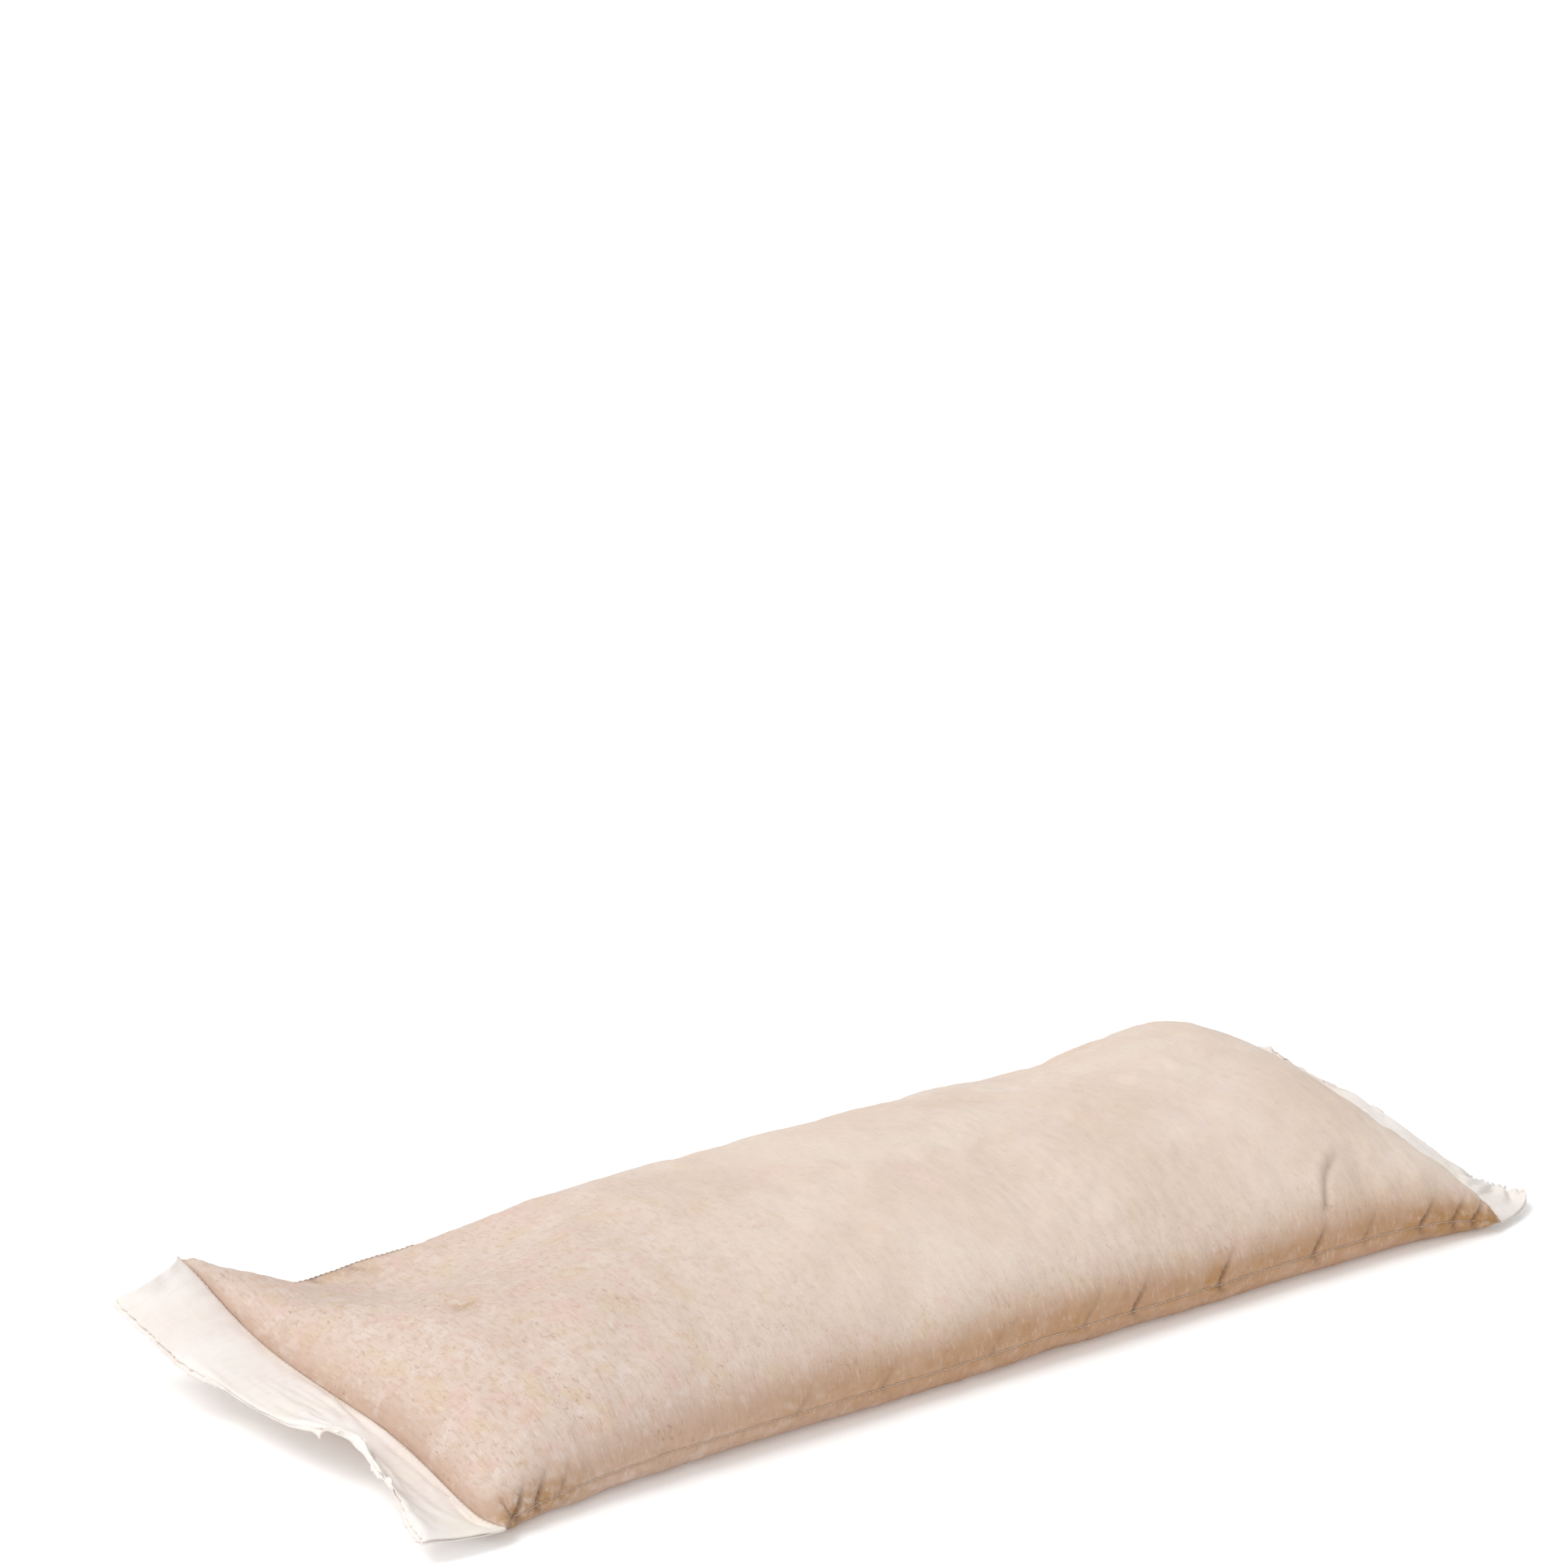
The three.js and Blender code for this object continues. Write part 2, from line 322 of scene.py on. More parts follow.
def settled_bag():
    coarse = Bag(0.02)
    coarse.lay_flat()
    least = coarse.volume(coarse.p)
    for share in np.linspace(0.3, 1, 8):
        coarse.settle(40, max(VOLUME * share, least), 2e-3, 1e-5, guided=False)
    coarse.settle(150, VOLUME, 2e-3, 1e-5, guided=False)
    middle = Bag(0.01)
    middle.refine(coarse)
    middle.settle(200, VOLUME, 1e-3, 1e-5, stiffness=0.2, push=push_on(middle, 1e-3))
    fine = Bag(0.005)
    fine.refine(middle)
    fine.settle(120, VOLUME, 5e-4, 5e-6, stiffness=0.2, squeeze=0.03, push=push_on(fine, 5e-4))
    finest = Bag(0.0025)
    finest.refine(fine)
    finest.p[:, 2] += 2e-5 * np.random.default_rng(5).standard_normal(finest.count)
    finest.p[:, 2] = np.maximum(finest.p[:, 2], 0)
    finest.before = finest.p.copy()
    finest.settle(70, VOLUME, 3e-4, 3e-6, stiffness=0.2, squeeze=0.03, push=push_on(finest, 3e-4))
    return finest


bag = settled_bag()


# ---------------------------------------------------------------- helpers for grids of points
def denser(grid, times):
    """More rows, by cubic interpolation between the given ones."""
    n = len(grid)
    at = np.linspace(0, n - 1, (n - 1) * times + 1)
    i = np.clip(at.astype(int), 0, n - 2)
    t = (at - i).reshape((-1,) + (1,) * (grid.ndim - 1))
    before, after = np.clip(i - 1, 0, n - 1), np.clip(i + 2, 0, n - 1)
    a, b, c, d = grid[before], grid[i], grid[i + 1], grid[after]
    return 0.5 * (2 * b + (c - a) * t + (2 * a - 5 * b + 4 * c - d) * t**2 + (3 * b - a - 3 * c + d) * t**3)


def normals_of(grid):
    """Unit normals of a grid of points, rows first."""
    along = np.gradient(grid, axis=0)
    across = np.gradient(grid, axis=1)
    n = np.cross(along, across)
    return n / np.maximum(np.linalg.norm(n, axis=-1, keepdims=True), 1e-12)


def blurred(grid, times):
    """The grid with each point moved towards its neighbours, the borders only along themselves."""
    for _ in range(times):
        g = grid.copy()
        g[1:-1] = grid[1:-1] + 0.25 * (grid[2:] + grid[:-2] - 2 * grid[1:-1])
        h = g.copy()
        h[:, 1:-1] = g[:, 1:-1] + 0.25 * (g[:, 2:] + g[:, :-2] - 2 * g[:, 1:-1])
        grid = h
    return grid


def link_mesh(name, points, faces):
    mesh = bpy.data.meshes.new(name)
    mesh.vertices.add(len(points))
    mesh.vertices.foreach_set("co", np.asarray(points, np.float32).ravel())
    faces = np.asarray(faces, np.int32)
    sides = faces.shape[1]
    mesh.loops.add(faces.size)
    mesh.loops.foreach_set("vertex_index", faces.ravel())
    mesh.polygons.add(len(faces))
    mesh.polygons.foreach_set("loop_start", np.arange(0, faces.size, sides, dtype=np.int32))
    mesh.update(calc_edges=True)
    mesh.validate()
    mesh.polygons.foreach_set("use_smooth", np.full(len(faces), True))
    piece = bpy.data.objects.new(name, mesh)
    bpy.context.scene.collection.objects.link(piece)
    return piece


def cloth_faces(rows, columns, turned):
    """Faces of a cloth with thickness: the outer grid, the inner one after it, and the rim."""
    index = np.arange(rows * columns).reshape(rows, columns)
    a, b = index[:-1, :-1].ravel(), index[1:, :-1].ravel()
    c, d = index[1:, 1:].ravel(), index[:-1, 1:].ravel()
    outer = np.stack([a, b, c, d], 1)
    inner = outer[:, ::-1] + rows * columns
    loop = np.concatenate([index[:, 0], index[-1, 1:], index[-2::-1, -1], index[0, -2:0:-1]])
    after = np.roll(loop, -1)
    rim = np.stack([after, loop, loop + rows * columns, after + rows * columns], 1)
    faces = np.concatenate([outer, inner, rim])
    return faces[:, ::-1] if turned else faces


def add_values(piece, **values):
    """Numbers painted on the points of a piece, for its material to use."""
    for name, value in values.items():
        value = np.asarray(value, np.float32).ravel()
        attribute = piece.data.attributes.new(name, "FLOAT", "POINT")
        attribute.data.foreach_set("value", value)


def add_flat(piece, flat_x, flat_y):
    """The place of each point on the flat cloth, in metres, as a UV map."""
    flat = np.stack([flat_x, flat_y], -1).reshape(-1, 2)
    corners = np.zeros(len(piece.data.loops), np.int32)
    piece.data.loops.foreach_get("vertex_index", corners)
    layer = piece.data.uv_layers.new(name="flat")
    layer.data.foreach_set("uv", flat[corners].astype(np.float32).ravel())


# ---------------------------------------------------------------- panels
CLOTH = 0.00035  # thickness
SEAM_GROOVE = 0.00036  # how deep the cloth is drawn in along a side seam
GROOVE_REACH = 0.0016
PUCKER = 0.0008  # height of the gathers along the side seams
PUCKER_REACH = 0.011
PUCKER_LENGTH = 0.010
END_PUCKER = 0.0005
END_PUCKER_REACH = 0.018
END_PUCKER_LENGTH = 0.010
LUMP = 0.0006
GRAIN = 0.00012
CRINKLE = 0.00011
SLITS = (  # folds drawn into the near side seam: place along it, depth, how much brown shows beside it
    (-0.310, 0.0020, 0.8), (-0.297, 0.0018, 0.9), (-0.283, 0.0008, 0.3), (-0.140, 0.0006, 0.5),
    (-0.088, 0.0007, 0.6), (-0.020, 0.0006, 0.2), (0.040, 0.0007, 0.6), (0.072, 0.0016, 0.2),
    (0.130, 0.0022, 0.9), (0.196, 0.0016, 0.4), (0.232, 0.0008, 0.3), (0.272, 0.0020, 0.9),
    (0.295, 0.0014, 0.6), (0.309, 0.0016, 0.8),
)
SLIT_LEAN = 0.85  # sideways for each metre away from the seam
SLIT_WIDTH = 0.0013
SLIT_LENGTH = 0.011
DENTS = (  # x and y on the flat upper panel, reach along and across, depth
    (-0.250, 0.000, 0.0085, 0.0060, 0.0022),
    (-0.236, -0.010, 0.014, 0.0045, 0.0012),
    (0.247, -0.100, 0.011, 0.022, 0.0026),
)
CREASE = ((0.235, -0.088), (0.212, -0.113))  # from its upper end to its lower one, on the upper panel
CREASE_DEPTH = 0.0020
CREASE_WIDTH = 0.0022


def cloth_texture(x, y, side, steep, edge):
    """Lumps of the filling, and the grain and crinkles of the cloth."""
    seed = 20 if side > 0 else 40
    lump = LUMP * lattice(x, y, 0.030, 0.026, seed) + 0.6 * LUMP * lattice(x, y, 0.014, 0.014, seed + 1)
    grain = lattice(x, y, 0.0042, 0.0042, seed + 2) + 1.2 * lattice(x, y, 0.008, 0.008, seed + 3)
    crinkle = lattice(x, y, 0.0020, 0.009, seed + 4) + 1.3 * lattice(x, y, 0.0035, 0.015, seed + 5)
    patch = np.clip(0.6 + 0.45 * lattice(x, y, 0.09, 0.06, seed + 6), 0.1, 1.4)
    crinkle = crinkle * patch * (0.4 + 0.8 * np.clip(steep, 0, 0.7))
    grain = grain * np.clip(0.8 + 0.4 * lattice(x, y, 0.07, 0.07, seed + 7), 0.2, 1.5)
    return lump * np.clip(edge / 0.02, 0, 1) + GRAIN * grain + CRINKLE * crinkle


def side_gathers(x, y, lean, edge):
    """Small leaning folds that run from the side seams into the cloth."""
    fold = lattice(lean, np.sign(y) * 0.5, PUCKER_LENGTH, 1.0, 61)
    fold = fold + 0.5 * lattice(lean, np.sign(y) * 0.5, PUCKER_LENGTH / 2.3, 1.0, 62)
    strength = np.clip(0.7 + 0.6 * lattice(x, np.sign(y) * 0.5, 0.05, 1.0, 63), 0.1, 1.8)
    near_edge = np.exp(-((edge / PUCKER_REACH) ** 1.2))
    return PUCKER * np.minimum(fold, 0.5) * strength * near_edge


def end_gathers(x, y, edge, end):
    """Folds that fan out from the end seams, strongest at the corners."""
    fan = y + 0.25 * end * np.sign(y)
    fold = lattice(np.sign(x) * 0.5, fan, 1.0, END_PUCKER_LENGTH, 64)
    fold = fold + 0.6 * lattice(np.sign(x) * 0.5, fan, 1.0, END_PUCKER_LENGTH / 2.2, 65)
    corner = 1 + 1.6 * np.exp(-((edge / 0.03) ** 2))
    gather = END_PUCKER * fold * corner * np.exp(-((end / END_PUCKER_REACH) ** 1.3))
    return gather * (1 - np.exp(-((end / 0.002) ** 2)))


def bell(distance, width):
    return np.exp(-((distance / width) ** 2))


def slit_folds(y, lean, edge, side):
    """The deep folds at the side seams: how far out, how much painted shade lies in them, and how much brown
    shows beside them.
    """
    out, dark, husky = (np.zeros_like(lean) for _ in range(3))
    length = SLIT_LENGTH * (1 if side > 0 else 0.6)
    for place, depth, show in SLITS:
        for way, share in ((-1, 1.0), (1, 0.5)):  # the far seam has softer ones of its own
            at = place if way < 0 else 0.013 - 0.93 * place
            reach = bell(edge, length) * (np.sign(y) == way) * share
            u = lean - at
            fold = 0.55 * bell(u + 0.0045, 0.0035) + 0.30 * bell(u - 0.0050, 0.0045) - bell(u, SLIT_WIDTH)
            out = out + depth * fold * reach
            # The dark line along each fold is painted shade.
            dark = np.maximum(dark, bell(u - 0.0002, 0.0016) * reach * min(1, depth / 0.0015))
            husky = np.maximum(husky, show * bell(u + 0.006, 0.008) * reach)
    return out, dark, husky


def crease_fold(x, y):
    """The single crease near the right end: how far out, and how much painted shade lies in it."""
    (ax, ay), (bx, by) = CREASE
    long = math.hypot(bx - ax, by - ay)
    t = ((x - ax) * (bx - ax) + (y - ay) * (by - ay)) / long**2
    u = ((x - ax) * (by - ay) - (y - ay) * (bx - ax)) / long - 0.004 * np.sin(math.pi * np.clip(t, 0, 1))
    along = np.clip((t + 0.15) / 0.35, 0, 1) * np.clip((1.25 - t) / 0.25, 0, 1)
    out = CREASE_DEPTH * (0.5 * bell(u - 0.005, 0.004) - bell(u, CREASE_WIDTH)) * along
    return out, 0.25 * bell(u, 0.0022) * along


def panel_detail(x, y, side, steep):
    """How far a panel stands out of the settled shape, how much painted shade lies in its folds and crease,
    and how much brown shows.
    """
    edge = BAG_WIDTH / 2 - np.abs(y)
    end = BAG_LENGTH / 2 - np.abs(x)
    lean = x - SLIT_LEAN * edge
    folds, dark, husky = slit_folds(y, lean, edge, side)
    off_seam = 1 - bell(edge, 0.0015)
    out = cloth_texture(x, y, side, steep, edge) + (side_gathers(x, y, lean, edge) + folds) * off_seam
    out = out + end_gathers(x, y, edge, end)
    out = out - SEAM_GROOVE * bell(edge, GROOVE_REACH) * np.clip(end / 0.01, 0, 1)
    # Browner along the near side seam, most towards the corners.
    near_corner = np.clip((np.abs(x) - 0.258) / 0.03, 0, 1)
    husky = np.maximum(husky, (0.25 + 0.75 * near_corner) * bell(edge, 0.010) * (y < 0))
    if side > 0:
        for dx, dy, rx, ry, depth in DENTS:
            out = out - depth * bell(x - dx, rx) * bell(y - dy, ry)
        crease, shade = crease_fold(x, y)
        out = out + crease
        dark = np.maximum(dark, shade)
        # Browner in the first dent.
        dx, dy = DENTS[0][:2]
        husky = np.maximum(husky, 0.7 * bell(x - dx, 0.0075) * bell(y - dy, 0.0055))
    return out, dark, husky


def panel_surface(index, side):
    """Points of the outer face of a panel on a fine grid, with its flat coordinates and values."""
    times = 2
    grid = denser(blurred(bag.p[index], 1), times)
    grid[0], grid[-1] = bag.p[index][0], bag.p[index][-1]
    x, y = np.meshgrid(np.linspace(bag.x[0], bag.x[-1], len(grid)), bag.y, indexing="ij")
    normal = normals_of(grid) * side
    steep = 1 - np.clip(normal[..., 2], 0, 1)
    out, dark, husky = panel_detail(x, y, side, steep)
    rim = np.minimum(BAG_LENGTH / 2 - np.abs(x), 0.004) / 0.004
    out = out * np.clip(rim, 0, 1)
    resting = np.clip(grid[..., 2] / 0.003, 0, 1)
    out = out * np.where(side < 0, resting, 1)
    return grid, normal, out, x, y, steep, dark, husky


surfaces = {1: panel_surface(bag.upper, 1), -1: panel_surface(bag.lower, -1)}
for column in (0, -1):  # both panels share one line along each side seam
    up, low = surfaces[1], surfaces[-1]
    shared = up[1][:, column] + low[1][:, column]
    shared /= np.maximum(np.linalg.norm(shared, axis=-1, keepdims=True), 1e-9)
    both = (up[2][:, column] + low[2][:, column]) / 2
    middle_line = (up[0][:, column] + low[0][:, column]) / 2
    for part in (up, low):
        part[0][:, column] = middle_line
        part[1][:, column] = shared
        part[2][:, column] = both


def painted_shade_under_seams(up, low):
    """How much of the painted shade of the steep sides the lower panel takes: as the upper one at the side
    seams, and fully so further under.
    """
    y, steep = low[4], low[5]
    at_seam = np.where(y < 0, up[5][:, 1:4].mean(1)[:, None], up[5][:, -4:-1].mean(1)[:, None])
    away = 1 - np.exp(-(BAG_WIDTH / 2 - np.abs(y)) / 0.03)
    return at_seam + (steep - at_seam) * away


# The lower panel's steep values give it the painted shade of the sides.
under = surfaces[-1]
surfaces[-1] = under[:5] + (painted_shade_under_seams(surfaces[1], under),) + under[6:]

panels = {}
for side, name, hides in ((1, "upper_panel_cloth", "upper_panel"), (-1, "lower_panel_cloth", "lower_panel")):
    grid, normal, out, x, y, steep, dark, husky = surfaces[side]
    face = grid + normal * out[..., None]
    face[..., 2] = np.maximum(face[..., 2], 0)
    back = face - normal * CLOTH
    back[..., 2] = np.maximum(back[..., 2], CLOTH)
    points = np.concatenate([face.reshape(-1, 3), back.reshape(-1, 3)])
    piece = link_mesh(name, points, cloth_faces(*face.shape[:2], side < 0))
    twice = lambda value: np.concatenate([value.ravel(), value.ravel()])
    add_flat(piece, twice(x), twice(y if side > 0 else y + 1.0))
    add_values(piece, steep=twice(steep), dark=twice(dark), husky=twice(husky))
    panels[side] = (piece, face)
    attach(piece, "pillow")
    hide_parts(hides)

# ---------------------------------------------------------------- filling
FILLING_STEP = 4  # of the bag's own points
FILLING_INSET = 0.0030


def make_filling():
    """The husks inside: a lumpy closed body a little smaller than the cloth around it."""
    skip = FILLING_STEP
    rows, columns = bag.rows, bag.columns
    row_ids = np.unique(np.r_[2:rows - 1:skip, rows - 2])
    column_ids = np.unique(np.r_[2:columns - 1:skip, columns - 2])
    parts = []
    for index, side in ((bag.upper, 1), (bag.lower, -1)):
        grid = bag.p[index]
        inset = grid - normals_of(grid) * side * FILLING_INSET
        parts.append(inset[np.ix_(row_ids, column_ids)])
    up, low = parts
    low[..., 2] = np.maximum(low[..., 2], 0.0012)
    gap = up[..., 2] - low[..., 2]
    tight = gap < 0.001
    middle = (up[..., 2] + low[..., 2]) / 2
    up[..., 2] = np.where(tight, middle + 0.0005, up[..., 2])
    low[..., 2] = np.where(tight, middle - 0.0005, low[..., 2])
    points = np.concatenate([up.reshape(-1, 3), low.reshape(-1, 3)])
    piece = link_mesh("husk_filling", points, cloth_faces(len(row_ids), len(column_ids), False))
    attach(piece, "pillow")
    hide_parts("filling")
    return piece


filling = make_filling()

# ---------------------------------------------------------------- flanges
FLANGE = 0.042  # flat depth from the end seam to the raw edge
FLANGE_GAP = 0.0004  # between the two plies at the seam
PLY_SHIFT = 0.0016  # how far the lower ply shows past the upper one
FLANGE_ROWS = 18
RAW_EDGE = {  # where the raw edge hangs: share across from the near to the far side, then x, y, z
    -1: ((0.0, -0.357, -0.134, 0.013), (0.12, -0.353, -0.104, 0.022), (0.29, -0.344, -0.060, 0.030),
         (0.36, -0.343, -0.042, 0.030), (0.44, -0.348, -0.022, 0.025), (0.56, -0.350, 0.012, 0.018),
         (0.74, -0.354, 0.060, 0.022), (0.93, -0.361, 0.122, 0.032), (1.0, -0.366, 0.147, 0.043)),
    1: ((0.0, 0.366, -0.112, 0.007), (0.20, 0.354, -0.080, 0.010), (0.33, 0.353, -0.044, 0.021),
        (0.55, 0.350, 0.013, 0.033), (0.78, 0.349, 0.073, 0.039), (1.0, 0.352, 0.131, 0.023)),
}
FLANGE_RIPPLE = 0.0016
FAR_BOW = 0.9  # how strongly the far corner of the left flange leaves the seam upwards


def relax_sheet(grid, edge, rest_rows, rest_columns, steps, weight):
    """Lets a loose cloth grid find its lengths again, its first two rows held and its raw edge led."""
    held = grid[:2].copy()
    before = grid.copy()
    rest_askew = math.hypot(rest_rows, rest_columns)
    for _ in range(steps):
        moved = (grid - before) * 0.9
        before = grid.copy()
        grid = grid + moved
        grid[2:, :, 2] -= weight
        grid[-1] += (edge - grid[-1]) * 0.25
        for _pass in range(6):
            for axis, rest in ((0, rest_rows), (1, rest_columns)):
                for first in (0, 1):
                    g = np.moveaxis(grid, axis, 0)
                    a, b = g[first:-1:2], g[first + 1 :: 2]
                    d = b - a
                    length = np.linalg.norm(d, axis=-1, keepdims=True)
                    move = d * (0.5 * (length - rest) / np.maximum(length, 1e-9))
                    a += move
                    b -= move
            for sign in (1, -1):
                for first in (0, 1):
                    a = grid[first:-1:2, :-1] if sign > 0 else grid[first:-1:2, 1:]
                    b = grid[first + 1 :: 2, 1:] if sign > 0 else grid[first + 1 :: 2, :-1]
                    d = b - a
                    length = np.linalg.norm(d, axis=-1, keepdims=True)
                    move = d * (0.2 * (length - rest_askew) / np.maximum(length, 1e-9))
                    a += move
                    b -= move
            grid[:2] = held
        smooth = blurred(grid, 1)
        grid[2:-1] += (smooth[2:-1] - grid[2:-1]) * 0.5
        grid[..., 2] = np.maximum(grid[..., 2], 0.0006)
    return grid


def flange_surface(end, ply):
    """Middle surface of one ply of a flange, rows from the seam to the raw edge."""
    row = 0 if end < 0 else -1
    inner = 1 if end < 0 else -2
    seam = bag.p[bag.upper[row]]
    up = seam - bag.p[bag.upper[inner]]
    low = seam - bag.p[bag.lower[inner]]
    out = up / np.linalg.norm(up, axis=-1, keepdims=True) + low / np.linalg.norm(low, axis=-1, keepdims=True)
    out /= np.linalg.norm(out, axis=-1, keepdims=True)
    out = 0.6 * out + 0.4 * np.array([end, 0, 0])
    if end < 0:
        out[:, 2] += FAR_BOW * np.exp(-(((1 - np.linspace(0, 1, len(seam))) / 0.12) ** 2))
    out /= np.linalg.norm(out, axis=-1, keepdims=True)
    share = np.linspace(0, 1, len(seam))
    knots = np.array(RAW_EDGE[end])
    edge = np.stack([np.interp(share, knots[:, 0], knots[:, k]) for k in (1, 2, 3)], -1)
    for _ in range(16):
        edge[1:-1] += 0.25 * (edge[2:] + edge[:-2] - 2 * edge[1:-1])
    depth = FLANGE + (PLY_SHIFT if ply < 0 else 0)
    depth = depth + 0.0006 * lattice(share, ply + 0 * share, 0.05, 1.0, 70 + end)
    t = np.linspace(0, 1, FLANGE_ROWS + 1)[:, None, None]
    start, finish = seam[None], edge[None]
    bulge = start + out[None] * (FLANGE * 0.5)
    grid = start * (1 - t) ** 2 + 2 * bulge * t * (1 - t) + finish * t**2
    wave = lattice(share[None, :] + 0 * t[..., 0], t[..., 0], 0.16, 0.9, 80 + 3 * end)
    wave = wave + 0.5 * lattice(share[None, :] + 0 * t[..., 0], t[..., 0], 0.07, 0.6, 90 + 3 * end)
    grid[..., 2] += FLANGE_RIPPLE * wave * t[..., 0] ** 1.5
    grid[..., 2] += ply * (FLANGE_GAP + 0.0004 * t[..., 0])
    along = BAG_WIDTH / bag.columns
    grid = relax_sheet(grid, grid[-1].copy(), FLANGE / FLANGE_ROWS, along, 14, 2e-6)
    reach = (t * depth[None, :, None] / FLANGE)[..., 0]
    place = np.clip(reach, 0, 1) * FLANGE_ROWS
    stretch = np.maximum(reach - 1, 0)[..., None] * FLANGE
    tip = grid[-1] - grid[-2]
    tip /= np.linalg.norm(tip, axis=-1, keepdims=True)
    i = np.clip(place.astype(int), 0, FLANGE_ROWS - 1)
    f = (place - i)[..., None]
    column = np.arange(len(seam))[None]
    return grid[i, column] * (1 - f) + grid[i + 1, column] * f + stretch * tip[None]


def make_flanges():
    made = {}
    for end, word in ((-1, "left"), (1, "right")):
        for ply, layer in ((1, "upper"), (-1, "lower")):
            grid = flange_surface(end, ply)
            if end < 0:
                grid = grid[::-1]
            grid = denser(np.swapaxes(denser(grid, 2), 0, 1), 2)
            grid = np.swapaxes(grid, 0, 1)
            rows, columns = grid.shape[:2]
            normal = normals_of(grid)
            far = np.linspace(1, 0, rows) if end < 0 else np.linspace(0, 1, rows)
            x = end * (BAG_LENGTH / 2 + far[:, None] * FLANGE) + np.zeros((rows, columns))
            y = np.linspace(-BAG_WIDTH / 2, BAG_WIDTH / 2, columns)[None] + np.zeros((rows, columns))
            seed = 100 + 4 * end + ply
            fine = 0.00010 * lattice(x, y, 0.006, 0.006, seed)
            fine = fine + 0.00008 * lattice(x, y, 0.003, 0.003, seed + 9)
            pucker = 0.0004 * lattice(x, y, 0.03, 0.006, seed + 17) * np.exp(-far[:, None] / 0.25)
            grid = grid + normal * ((fine + pucker) * np.minimum(far[:, None] / 0.06, 1))[..., None]
            fray = np.clip((far[:, None] - 0.96) / 0.04, 0, 1)
            frayed = 0.0004 * lattice(y, x * 0, 0.0011, 1.0, seed + 21) * fray
            grid = grid + np.array([end, 0, 0]) * frayed[..., None]
            top, bottom = grid + normal * CLOTH / 2, grid - normal * CLOTH / 2
            points = np.concatenate([top.reshape(-1, 3), bottom.reshape(-1, 3)])
            piece = link_mesh(f"{word}_flange_{layer}_cloth", points, cloth_faces(rows, columns, False))
            both = lambda value: np.concatenate([value.ravel(), value.ravel()])
            add_flat(piece, both(x), both(y + (2.0 if ply < 0 else 0.0)))
            add_values(piece, far=both(far[:, None] + 0 * x))
            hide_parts(f"{word}_flange_{layer}_ply")
            made[end, ply] = (piece, grid)
    return made


flanges = make_flanges()

# ---------------------------------------------------------------- stitches
STITCH = 0.0030  # one stitch and the space after it
STITCH_SHARE = 0.78
THREAD = 0.00022
STITCH_IN = 0.0016  # from the end seam to its stitches


def stitch_line(name, path, lift, normal, node):
    """Short thread loops along a path, each dipping into the cloth at both ends."""
    gaps = np.linalg.norm(np.diff(path, axis=0), axis=1)
    at = np.concatenate([[0], np.cumsum(gaps)])
    count = int(at[-1] / STITCH)
    points, faces = [], []
    for n in range(count):
        ts = (n + np.linspace(0, STITCH_SHARE, 6)) * STITCH
        core = np.stack([np.interp(ts, at, path[:, k]) for k in range(3)], -1)
        up = np.stack([np.interp(ts, at, normal[:, k]) for k in range(3)], -1)
        up /= np.linalg.norm(up, axis=1, keepdims=True)
        arch = np.sin(np.linspace(0, math.pi, 6))[:, None]
        core = core + up * (lift + THREAD * (1.3 * arch - 0.9))
        ahead = np.gradient(core, axis=0)
        ahead /= np.linalg.norm(ahead, axis=1, keepdims=True)
        side = np.cross(ahead, up)
        side /= np.linalg.norm(side, axis=1, keepdims=True)
        base = len(points)
        for k in range(6):
            for m in range(6):
                a = 2 * math.pi * m / 6
                points.append(core[k] + THREAD * (side[k] * math.cos(a) + up[k] * math.sin(a)))
        for k in range(5):
            for m in range(6):
                a, b = base + k * 6 + m, base + k * 6 + (m + 1) % 6
                faces.append((a, b, b + 6, a + 6))
        for k, order in ((0, (5, 4, 3, 2)), (0, (5, 2, 1, 0)), (5, (0, 1, 2, 3)), (5, (0, 3, 4, 5))):
            faces.append(tuple(base + k * 6 + m for m in order))
    piece = link_mesh(name, np.array(points), faces)
    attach(piece, "pillow")
    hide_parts(node)
    return piece


def make_stitches():
    made = []
    for end, word in ((-1, "left"), (1, "right")):
        for ply, layer in ((1, "upper"), (-1, "lower")):
            grid = flanges[end, ply][1]
            normal = normals_of(grid) * ply
            rows = len(grid)
            k = round(STITCH_IN / FLANGE * (rows - 1))
            k = rows - 1 - k if end < 0 else k
            name, node = f"{word}_{layer}_stitches", f"{word}_end_{layer}_thread"
            made.append(stitch_line(name, grid[k, 2:-2], CLOTH / 2, normal[k, 2:-2], node))
    for column, word in ((0, "near"), (-1, "far")):
        face = panels[1][1][:, column]
        out = surfaces[1][1][:, column]
        keep = slice(12, -12)
        name, node = f"{word}_side_stitches", f"{word}_side_thread"
        made.append(stitch_line(name, face[keep], 0.0001, out[keep], node))
    return made


stitches = make_stitches()
for end, word in ((-1, "left"), (1, "right")):
    for ply in (1, -1):
        piece = flanges[end, ply][0]
        hinge = next(j for j in frame["joints"] if j["name"] == f"{word}_flange_fold")
        x = abs(hinge["pos_m"][0])
        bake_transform(piece)

# ---------------------------------------------------------------- materials
def new_material(name):
    material = bpy.data.materials.new(name)
    material.use_nodes = True
    tree = material.node_tree
    tree.nodes.clear()
    return material, tree


